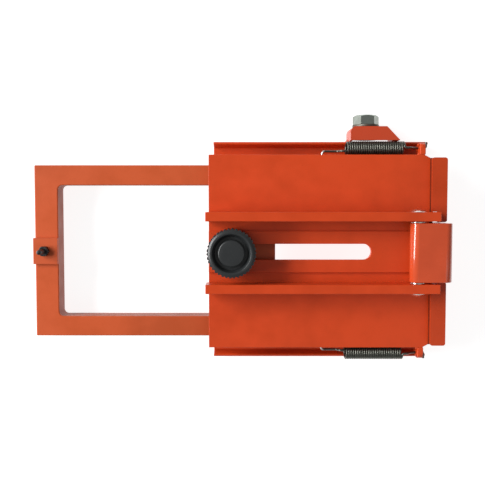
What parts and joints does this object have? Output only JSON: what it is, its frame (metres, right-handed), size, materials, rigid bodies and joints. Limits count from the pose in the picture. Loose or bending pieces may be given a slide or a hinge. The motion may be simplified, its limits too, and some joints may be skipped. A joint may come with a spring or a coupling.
{
  "type": "sliding-hoop latch unit",
  "caption": "Spring-loaded latch unit of orange powder-coated sheet steel with a sliding tube hoop clamped by a black knob, a hinged latch and two extension springs",
  "frame": {"origin": "the middle of the four mounting holes, on the back face z = 0", "axes": "+X runs towards the latch end, +Y towards the side with the bolt, +Z away from the mounting face"},
  "size_m": [0.4344, 0.26, 0.0747],
  "materials": {
    "orange_coat": "semi-gloss powder coat",
    "dark_steel": "black-oxide and zinc, slightly worn",
    "zinc_steel": "bright zinc plating",
    "spring_steel": "oiled spring steel",
    "black_plastic": "satin moulded plastic",
    "nylon": "satin",
    "brass": "machined"
  },
  "bodies": {
    "base": {"upper_side_rail": "orange_coat", "lower_side_rail": "orange_coat", "left_strap": "orange_coat", "right_strap": "orange_coat", "glide_pads": "nylon", "bolt_boss": "orange_coat", "side_bolt": "dark_steel", "side_bolt_washer": "zinc_steel", "boss_nut": "dark_steel", "upper_spring": "spring_steel", "lower_spring": "spring_steel"},
    "carriage": {"top_plate": "orange_coat", "slot_bar": "orange_coat", "upper_guide_rail": "orange_coat", "lower_guide_rail": "orange_coat", "end_flange": "orange_coat", "upper_spring_lug": "orange_coat", "lower_spring_lug": "orange_coat", "guide_studs": "zinc_steel", "guide_washers": "zinc_steel", "guide_nuts": "zinc_steel", "latch_pin": "zinc_steel", "latch_spacers": "zinc_steel"},
    "latch": {"latch_hook": "orange_coat"},
    "hoop": {"hoop_upper_arm": "orange_coat", "hoop_lower_arm": "orange_coat", "hoop_end_bar": "orange_coat", "hoop_saddle": "orange_coat", "slide_block": "zinc_steel", "clamp_stud": "zinc_steel", "pad_block": "orange_coat", "end_stud": "dark_steel", "end_stud_nut": "dark_steel"},
    "washer": {"clamp_washer": "zinc_steel"},
    "knob": {"knob_body": "black_plastic", "knob_cap": "black_plastic", "knob_insert": "brass"}
  },
  "joints": [
    {"name": "carriage_slide", "type": "slide", "parent": "base", "child": "carriage", "axis": [1, 0, 0], "range_m": [0, 0.02], "stiffness_N_per_m": 11700, "springref_m": -0.005, "deforming": ["upper_spring", "lower_spring"]},
    {"name": "latch_hinge", "type": "hinge", "parent": "carriage", "child": "latch", "pos_m": [0.0942, 0, 0.058], "axis": [0, -1, 0], "range_deg": [0, 95]},
    {"name": "hoop_slide", "type": "slide", "parent": "carriage", "child": "hoop", "axis": [1, 0, 0], "range_m": [0, 0.13]},
    {"name": "washer_lift", "type": "slide", "parent": "hoop", "child": "washer", "axis": [0, 0, 1], "range_m": [0, 0.00175]},
    {"name": "knob_turn", "type": "hinge", "parent": "washer", "child": "knob", "pos_m": [-0.0957, 0, 0.0475], "axis": [0, 0, 1], "range_deg": [0, 360]}
  ],
  "couplings": [
    {"joint": "knob_turn", "follows": "washer_lift", "rad_per_m": 3590.4}
  ]
}
